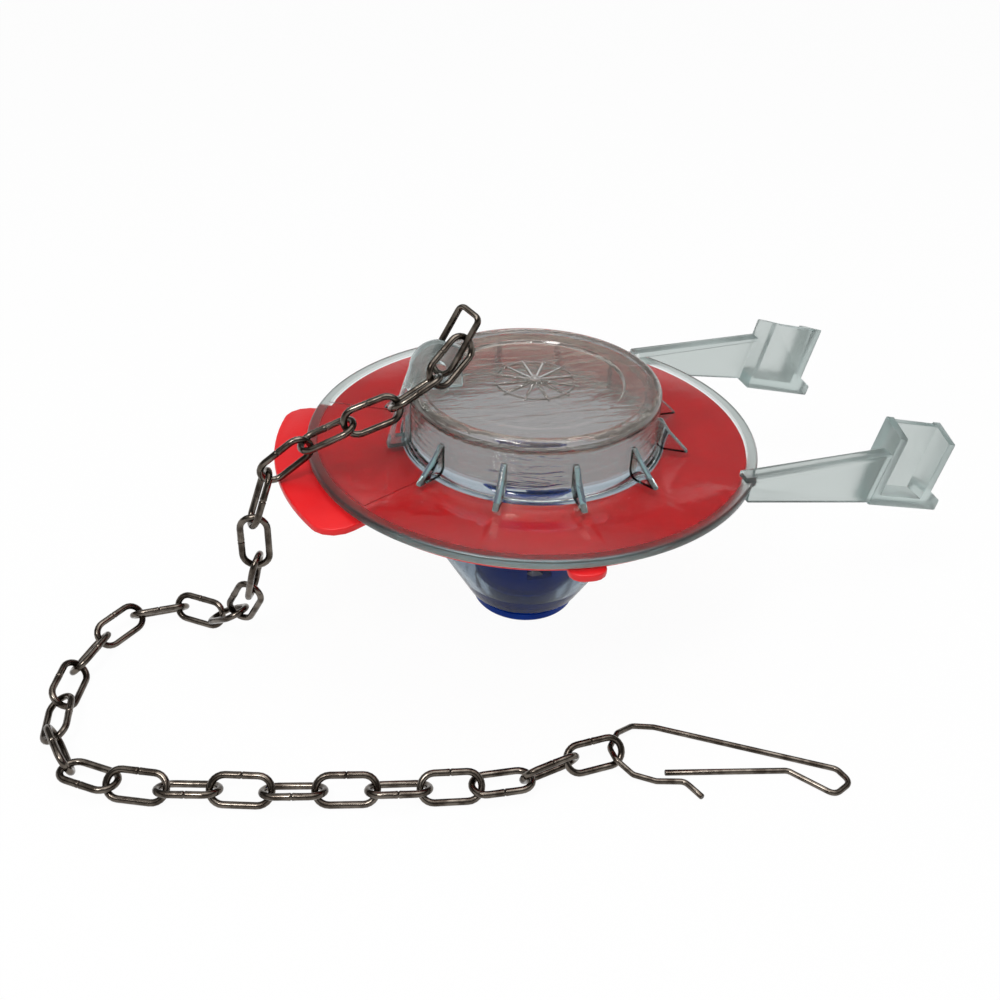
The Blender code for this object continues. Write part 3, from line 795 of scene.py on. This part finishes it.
body.data.materials.append(clear_fins.material)
fins = [face for face in body.data.polygons if is_fin(face)]
for face in fins:
    face.material_index = 1
print("hazy faces:", len(fins))
for piece in (body, cone):
    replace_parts(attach(piece, "float"), "float_frame")
print("the float and its cone stand for float_frame")

# %% [markdown]
# ## The cap
#
# The cap is welded on the drum. Its shoulder is a generous round, its middle is sunk a little, and a star of
# twelve fine rays with a ring through them stands up in the middle. Below it a spigot reaches into the drum.
# The spigot's lower edge is torn along the weld, so that edge is moved up and down by noise.

# %% The cap
CAP_BOTTOM = 55.3
CAP_TOP = 57.3
CAP_ROUND = 1.6
CAP_SUNK_RADIUS = 18.9
CAP_SUNK = 0.6
CAP_STEP_TOE = (0.15, 0.12)
CAP_STEP_WIDTH = 0.5
CAP_FLOOR = CAP_TOP - CAP_SUNK
SPIGOT_OUTER = 25.5
SPIGOT_INNER = 24.0
SPIGOT_FOOT = 53.8
TEAR = 0.35
TEAR_GRAIN = 900


def cap_section():
    toe_out, toe_up = CAP_STEP_TOE
    step = [
        (CAP_SUNK_RADIUS, CAP_FLOOR), (CAP_SUNK_RADIUS + toe_out, CAP_FLOOR + toe_up),
        (CAP_SUNK_RADIUS + CAP_STEP_WIDTH, CAP_TOP),
    ]
    shoulder = arc((DRUM_RADIUS - CAP_ROUND, CAP_TOP - CAP_ROUND), CAP_ROUND, 90, 0, 8)
    under = [(DRUM_RADIUS, CAP_BOTTOM), (SPIGOT_OUTER, CAP_BOTTOM), (SPIGOT_OUTER, SPIGOT_FOOT)]
    inner = [(SPIGOT_INNER, SPIGOT_FOOT), (SPIGOT_INNER, CAP_BOTTOM), (0, CAP_BOTTOM)]
    return [(0, CAP_FLOOR)] + step + shoulder + under + inner


def tear_foot(piece):
    for vert in piece.data.vertices:
        if abs(vert.co.z - SPIGOT_FOOT * MM) < 0.01 * MM:
            vert.co.z += TEAR * MM * noise.noise(vert.co * TEAR_GRAIN)


cap = turned("clear_cap", cap_section(), clear_cap, closed=False)
tear_foot(cap)
print("plain cap:", len(cap.data.polygons), "faces")

# %% The star on the cap
STAR_RAYS = 12
STAR_REACH = 9.6
STAR_RISE = 0.45
STAR_SINK = 0.3
STAR_ROUND = 0.12
RAY_HALF = 1.4
RING_FOOT = (8.2, 8.8)
RING_TOP = (8.3, 8.7)
RING_RISE = 0.4
HUB_RADIUS = 1.3


def star():
    points = []
    step = 360 // STAR_RAYS
    for i in range(STAR_RAYS):
        points.append(spoke(HUB_RADIUS, step * i - step // 2))
        points += arc((0, 0), STAR_REACH, step * i - RAY_HALF, step * i + RAY_HALF, 1)
    foot, top = CAP_FLOOR - STAR_SINK, CAP_FLOOR + RING_RISE
    rays = rounded(level("star", points, foot, CAP_FLOOR + STAR_RISE, clear_cap), STAR_ROUND, 1)
    ring_section = [(RING_FOOT[0], foot), (RING_FOOT[1], foot), (RING_TOP[1], top), (RING_TOP[0], top)]
    ring = turned("ring", ring_section, clear_cap)
    hub_section = arc((0, CAP_FLOOR), HUB_RADIUS, 90, 0, 5) + [(HUB_RADIUS, foot), (0, foot)]
    hub = turned("hub", hub_section, clear_cap, segments=24, closed=False)
    return [rays, ring, hub]


for form in star():
    combined(cap, [form], "UNION")
print("cap:", len(cap.data.polygons), "faces")
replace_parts(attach(cap, "float"), "top_cap")

# %% [markdown]
# ## The seal
#
# A flat rubber ring sits under the disc, in the groove between the disc and the cone's lip. A wide tab and a
# small one stick out past the disc, to pull it off by. Ring and tabs are joined, and their edges are rounded
# as soft rubber is.

# %% The seal ring and its tabs
SEAL_BOTTOM = 40.9
SEAL_TOP = 42.7
SEAL_INNER = NECK_RADIUS + 0.3
SEAL_OUTER = 46.5
SEAL_LOW_ROUND = 0.4
SEAL_HIGH_ROUND = 0.2
TAB_ROOT = SEAL_OUTER - 1.8
TAB_INSET = 0.1
TAB_ROUND = 0.35
TAB_STRAIGHT = 0.35
TAB_CURVED = 0.65
TAB_SHARES = (0.2, 0.45, 0.7, 0.9)
TAB_STEPS = 8
TABS = {
    "wide_tab": {"middle": 180, "half_angle": 29, "reach": 56.0, "corner": 6},
    "small_tab": {"middle": -95.2, "half_angle": 4.4, "reach": 50.5, "corner": 3.6},
}


def seal_section():
    low_middle = (SEAL_OUTER - SEAL_LOW_ROUND, SEAL_BOTTOM + SEAL_LOW_ROUND)
    high_middle = (SEAL_OUTER - SEAL_HIGH_ROUND, SEAL_TOP - SEAL_HIGH_ROUND)
    edge = arc(low_middle, SEAL_LOW_ROUND, -90, 0, 3) + arc(high_middle, SEAL_HIGH_ROUND, 0, 90, 2)
    return [(SEAL_INNER, SEAL_BOTTOM)] + edge + [(SEAL_INNER, SEAL_TOP)]


def tab(name, middle, half_angle, reach, corner):
    """A tab about an angle, which widens from inside the ring and has round outer corners."""
    rise = reach - SEAL_OUTER
    sides = []
    for sign in (-1, 1):
        edge = middle + sign * half_angle
        side = [(TAB_ROOT, edge), (SEAL_OUTER + TAB_STRAIGHT * rise, edge)]
        for share in TAB_SHARES:
            turn = math.radians(90 * share)
            out = SEAL_OUTER + rise * (TAB_STRAIGHT + TAB_CURVED * math.sin(turn))
            side.append((out, edge - sign * corner * (1 - math.cos(turn))))
        sides.append(side[::-sign])
    steps = range(-TAB_STEPS, TAB_STEPS + 1)
    outer = [(reach, middle + (half_angle - corner) * i / TAB_STEPS) for i in steps]
    inner = [(TAB_ROOT, middle - half_angle * i / TAB_STEPS) for i in steps[1:-1]]
    outline = [spoke(radius, angle) for radius, angle in sides[0] + outer + sides[1] + inner]
    return rounded(level(name, outline, SEAL_BOTTOM + TAB_INSET, SEAL_TOP - TAB_INSET, rubber), TAB_ROUND, 3)


seal = turned("rubber_seal", seal_section(), rubber)
for name, sizes in TABS.items():
    combined(seal, [tab(name, **sizes)], "UNION")
print("seal:", len(seal.data.polygons), "faces")
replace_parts(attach(seal, "float"), "seal_ring")

# %% [markdown]
# ## The dial
#
# A blue dial closes the cone's foot. Its sleeve stands up inside the cone, with two bleed slots, and its foot
# shows below as a ring with a fine groove. Four vents in the floor let water in.

# %% The dial
DIAL_SECTION = [
    (0, 0), (11.3, 0), (11.75, 0.15), (12.0, 0.5), (12.0, 1.9), (11.6, 2.1), (11.6, 2.4), (12.0, 2.6),
    (12.0, 3.5), (11.8, 3.7), (11.3, 3.7), (11.3, 7.8), (12.0, 8.2), (11.3, 8.8), (11.3, 25.8),
    (11.1, 26.0), (10.2, 26.0), (10.0, 25.8), (10.0, 1.5), (0, 1.5),
]
VENT_COUNT = 4
VENT_PLACE = (6.4, 0)
VENT_RADIUS = 2.2
VENT_CUT = (-1, 3)
SLOT = [(-3, 12), (3, 12), (3, 20), (-3, 20)]
SLOT_REACH = 24


def dial_cuts():
    """The vents, and one cut right through the sleeve that makes both slots."""
    made = []
    for i in range(VENT_COUNT):
        vent = level(f"vent_{i}", arc(VENT_PLACE, VENT_RADIUS, 0, 345, 23), *VENT_CUT, blue)
        made.append(turned_about(vent, 45 + 90 * i))
    made.append(upright("slot", SLOT, -SLOT_REACH, SLOT_REACH, blue))
    return made


dial = turned("blue_dial", DIAL_SECTION, blue, segments=96, closed=False)
combined(dial, dial_cuts(), "DIFFERENCE")
print("dial:", len(dial.data.polygons), "faces")
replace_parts(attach(dial, "dial"), "bleed_dial")

# %% [markdown]
# ## Wire
#
# Links and clip are bars along a path. A ring of points is carried along the path without twisting, and each
# ring may be thicker, thinner or flatter than the last. That is how a weld, a cut end or a flattened bend is
# made.


# %% A bar along a path
def bar(name, path, sizes, finish, across, sides=14, closed=False):
    """A bar with a half thickness and half width for each point. across is its first sideways direction."""
    bm = bmesh.new()
    count = len(path)
    rings = []
    for i, point in enumerate(path):
        before = path[i - 1] if i or closed else point
        after = path[(i + 1) % count] if i + 1 < count or closed else point
        along = (after - before).normalized()
        across = (across - along * across.dot(along)).normalized()
        other = along.cross(across)
        thick, wide = sizes[i]
        ring = []
        for k in range(sides):
            turn = math.tau * k / sides
            place = point + across * thick * math.cos(turn)
            ring.append(bm.verts.new(place + other * wide * math.sin(turn)))
        rings.append(ring)
    pairs = list(zip(rings, rings[1:]))
    if closed:
        pairs.append((rings[-1], rings[0]))
    else:
        bm.faces.new(rings[0])
        bm.faces.new(rings[-1])
    for low, high in pairs:
        for k in range(sides):
            bm.faces.new((low[k], low[(k + 1) % sides], high[(k + 1) % sides], high[k]))
    return finished(name, bm, finish, 50)


WIRE_HALF = 0.7
print("wire thickness:", 2 * WIRE_HALF, "mm")

# %% [markdown]
# ## The chain
#
# Each CAD link already lies where it should. The three main directions of its points give its length, its
# width and the way through it, so the finer link is built flat once and set in the same place. Its ends meet
# in a butt weld half way along one side: a fine groove with a slight swelling round it.

# %% One link
LINK_LENGTH = 13.2
LINK_WIDTH = 6.9
WELD_POINTS = (-1.6, -0.8, -0.45, -0.25, -0.12, 0, 0.12, 0.25, 0.45, 0.8, 1.6)
WELD_REACH = 1.7
WELD_SWELL = 0.055
WELD_SWELL_WIDTH = 0.6
WELD_GROOVE = 0.16
WELD_GROOVE_WIDTH = 0.13


def link_path():
    """An oval about the origin, with points close together at the weld."""
    radius = LINK_WIDTH / 2 - WIRE_HALF
    reach = (LINK_LENGTH - LINK_WIDTH) / 2
    right = arc((reach, 0), radius, -90, 90, 12)
    left = arc((-reach, 0), radius, 90, 270, 12)
    weld = [(x, -radius) for x in WELD_POINTS]
    return [Vector((x, y, 0)) for x, y in right + left + weld]


def weld_size(point):
    """The half thickness and half width of the wire at a point of a link."""
    if point.y > 0 or abs(point.x) > WELD_REACH:
        return WIRE_HALF, WIRE_HALF
    swell = WELD_SWELL * math.exp(-((point.x / WELD_SWELL_WIDTH) ** 2))
    groove = WELD_GROOVE * math.exp(-((point.x / WELD_GROOVE_WIDTH) ** 2))
    return WIRE_HALF + swell - groove, WIRE_HALF + swell - groove


def link_lie(node):
    """The place and turn of a CAD link, found from its own points."""
    points = np.array([vert.co for vert in frame["nodes"][node].data.vertices])
    points = np.unique(np.round(points, 7), axis=0)
    spread = np.linalg.svd(points - points.mean(0), full_matrices=False)[2]
    along, across = Vector(spread[0]), Vector(spread[1])
    flat = (points - points.mean(0)) @ spread.T
    middle = points.mean(0) + spread.T @ ((flat.max(0) + flat.min(0)) / 2)
    if across.z > 0:
        across = -across
    turn = Matrix((along, across, along.cross(across))).transposed().to_4x4()
    return Matrix.Translation(Vector(middle)) @ turn


# %% The chain
def add_links():
    path = link_path()
    sizes = [weld_size(point) for point in path]
    names = sorted(name for name in frame["nodes"] if name.startswith("chain_link"))
    for name in names:
        piece = bar(name.replace("chain_", "steel_"), path, sizes, steel, Vector((0, 0, 1)), closed=True)
        piece.data.transform(link_lie(name))
        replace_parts(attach(piece, "float"), name)
    return names


print("links:", len(add_links()))

# %% [markdown]
# The first link hangs in the lug. It is longer than the others, its top is nearly square, and its wire is
# flatter there.

# %% The link on the lug
LUG_LINK_LENGTH = 15.8
LUG_LINK_LEAN = math.radians(29)
LUG_LINK_TURN = math.radians(33)
LUG_LINK_CORNER = 1.2
LUG_LINK_FLAT_FROM = 13
LUG_LINK_FLAT = (WIRE_HALF * 1.2, WIRE_HALF * 0.85)


def lug_link_path():
    half = LINK_WIDTH / 2 - WIRE_HALF
    top = LUG_LINK_LENGTH - 2 * WIRE_HALF
    corner = LUG_LINK_CORNER
    bottom = arc((half, 0), half, 90, 270, 12)
    right = arc((top - corner, corner - half), corner, -90, 0, 5)
    left = arc((top - corner, half - corner), corner, 0, 90, 5)
    return [Vector((x, y, 0)) for x, y in bottom + right + left]


def add_lug_link():
    path = lug_link_path()
    round_wire = (WIRE_HALF, WIRE_HALF)
    sizes = [LUG_LINK_FLAT if point.x > LUG_LINK_FLAT_FROM else round_wire for point in path]
    piece = bar("steel_lug_link", path, sizes, steel, Vector((0, 0, 1)), closed=True)
    lean = Matrix.Rotation(LUG_LINK_LEAN - math.pi / 2, 4, "Y")
    place = Matrix.Translation(Vector((HOLE_X, 0, HOLE_Z)) * MM)
    piece.data.transform(place @ lean @ Matrix.Rotation(LUG_LINK_TURN, 4, "X"))
    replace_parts(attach(piece, "float"), "lug_link")
    return piece


print("lug link:", len(add_lug_link().data.polygons), "faces")

# %% [markdown]
# ## The clip
#
# The clip is one springy wire: an eye that holds the last link, a long side to a narrow nose, and back along
# the other side to a bent tail. Its bends are given in the wire's own order, and each is rounded with a short
# curve.

# %% The wire clip
CLIP_HALF = 0.6
CLIP_REST = 0.6
CLIP_STEP = 1.1
CLIP_EYE = 2.6
CLIP_BENDS = [
    (9.7, -63.2, CLIP_REST), (33.8, -68.9, CLIP_REST), (39.8, -76.8, CLIP_REST), (44.5, -74.8, CLIP_REST),
    (43.6, -71.0, CLIP_REST), (12.5, -51.2, CLIP_REST), (8.0, -50.2, CLIP_STEP), (3.6, -52.6, CLIP_EYE),
    (0.6, -56.0, CLIP_EYE), (0.7, -59.2, CLIP_EYE), (3.2, -62.5, CLIP_STEP), (7.2, -64.8, CLIP_REST),
    (12.6, -66.3, CLIP_REST), (14.3, -70.8, CLIP_REST),
]
CLIP_BEND_RADIUS = 2.0
CLIP_BEND_STEPS = 8
CLIP_END_LENGTH = 0.15
CLIP_END_HALF = CLIP_HALF * 0.8
BEND_SHARE = 2.02


def rounded_bends(points, radius, steps):
    """The straight runs between the points, with a short curve at each bend, under half a run long."""
    path = [points[0]]
    for before, corner, after in zip(points, points[1:], points[2:]):
        back = (before - corner).normalized()
        onward = (after - corner).normalized()
        half = back.angle(onward) / 2
        runs = ((before - corner).length / BEND_SHARE, (after - corner).length / BEND_SHARE)
        reach = min(radius / math.tan(half), *runs)
        for i in range(steps + 1):
            t = i / steps
            start = corner + back * reach
            end = corner + onward * reach
            path.append((1 - t) ** 2 * start + 2 * t * (1 - t) * corner + t**2 * end)
    return path + [points[-1]]


def add_clip():
    path = rounded_bends([Vector(point) for point in CLIP_BENDS], CLIP_BEND_RADIUS, CLIP_BEND_STEPS)
    first = path[0] + (path[1] - path[0]).normalized() * CLIP_END_LENGTH
    last = path[-1] + (path[-2] - path[-1]).normalized() * CLIP_END_LENGTH
    path = [path[0], first] + path[1:-1] + [last, path[-1]]
    sizes = [(CLIP_HALF, CLIP_HALF)] * len(path)
    sizes[0] = sizes[-1] = (CLIP_END_HALF, CLIP_END_HALF)
    piece = bar("steel_clip", path, sizes, steel, Vector((0, 0, 1)))
    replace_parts(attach(piece, "float"), "wire_clip")
    return piece


print("clip:", len(add_clip().data.polygons), "faces")

# %% [markdown]
# ## Floor and light
#
# The object stands on a plain white floor under soft light. The floor glows towards the camera, so that it is
# white there without more light on the object, and it still takes a faint shadow. Reflected and bent rays see
# the same glow, so metal and clear plastic show a white floor too. Only a small round patch under the dial
# doesn't glow, because it would shine up through the dial's openings. That patch is painted shadow: it is dark
# where the dial's shadow falls on the floor.
#
# The world is white for the camera as well, and half as bright for the light on the object. Reflected and bent
# rays meet a dark band in it, between the horizon and the lamps, because the flat clear disc would mirror a
# white one and hide the red beneath it.

# %% The floor
FLOOR_SIZE = 4000.0
FLOOR_FACES = (-5.0, -0.05)
FLOOR_GREY = (0.8, 0.8, 0.8, 1)
FLOOR_GLOW = 0.96
SHADOW_UNDER_DIAL = (9.5 * MM, 11.5 * MM)


def add_floor():
    half = FLOOR_SIZE / 2
    finish = Finish("floor", Base_Color=FLOOR_GREY, Roughness=0.9, Specular_IOR_Level=0.0)
    sees = finish.ray("Camera", "Glossy", "Transmission")
    # Painted shadow: no glow in a round patch under the dial, where its shadow falls.
    share = sees * finish.from_axis().span(*SHADOW_UNDER_DIAL) * FLOOR_GLOW
    glow = finish.node("ShaderNodeEmission", None, {"Strength": 1.0})
    surface = Signal(finish, finish.shader.outputs[0])
    mixed = finish.node("ShaderNodeMixShader", None, {0: share, 1: surface, 2: glow})
    finish.feed(finish.out.inputs["Surface"], mixed)
    corners = [(-half, -half), (half, -half), (half, half), (-half, half)]
    floor = level("floor", corners, *FLOOR_FACES, finish)
    floor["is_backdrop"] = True


add_floor()
print("floor", FLOOR_SIZE, "mm across")

# %% The lamps and the world
LAMPS = {
    "key": {"place": (-260, -260, 520), "size": 160, "power": 1.5},
    "top": {"place": (60, -40, 640), "size": 420, "power": 1.6},
}
WORLD_LEVEL = 0.5
BAND_START = (0.18, 0.36)
BAND_END = (0.65, 0.74)
BAND_DEPTH = 0.88


def add_lamp(name, place, size, power):
    lamp = bpy.data.objects.new(name, bpy.data.lights.new(name, "AREA"))
    lamp.data.size = size * MM
    lamp.data.energy = power
    lamp.location = Vector(place) * MM
    lamp.rotation_euler = (-Vector(place)).to_track_quat("-Z", "Y").to_euler()
    lamp.visible_camera = False
    bpy.context.scene.collection.objects.link(lamp)


def add_world():
    """White for the camera, with a dark band for reflected and bent rays."""
    world = bpy.data.worlds.new("studio")
    world.use_nodes = True
    room = Nodes(world.node_tree)
    way = room.node("ShaderNodeTexCoord", output="Generated")
    height = room.node("ShaderNodeSeparateXYZ", None, {0: way}, output=2)
    band = height.span(*BAND_START) * (1 - height.span(*BAND_END)) * BAND_DEPTH
    share = WORLD_LEVEL + room.ray("Camera") * (1 - WORLD_LEVEL)
    share = share + room.ray("Glossy", "Transmission") * (1 - WORLD_LEVEL - band)
    white = room.node("ShaderNodeBackground", None, {"Color": (1, 1, 1, 1), "Strength": 1.0})
    black = room.node("ShaderNodeBackground", None, {"Color": (0, 0, 0, 1), "Strength": 1.0})
    mixed = room.node("ShaderNodeMixShader", None, {0: share, 1: black, 2: white})
    room.feed(world.node_tree.nodes["World Output"].inputs["Surface"], mixed)
    bpy.context.scene.world = world


for name, settings in LAMPS.items():
    add_lamp(name, **settings)
add_world()
bpy.context.scene.view_settings.view_transform = "Standard"
print("lamps:", sorted(LAMPS), "and the world at", WORLD_LEVEL)

# %% The sizes of the CAD model and of the finer pieces
visual_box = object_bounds()
sizes = {"cad": [list(corner) for corner in cad_box], "visual": [list(corner) for corner in visual_box]}
print("sizes:", sizes)
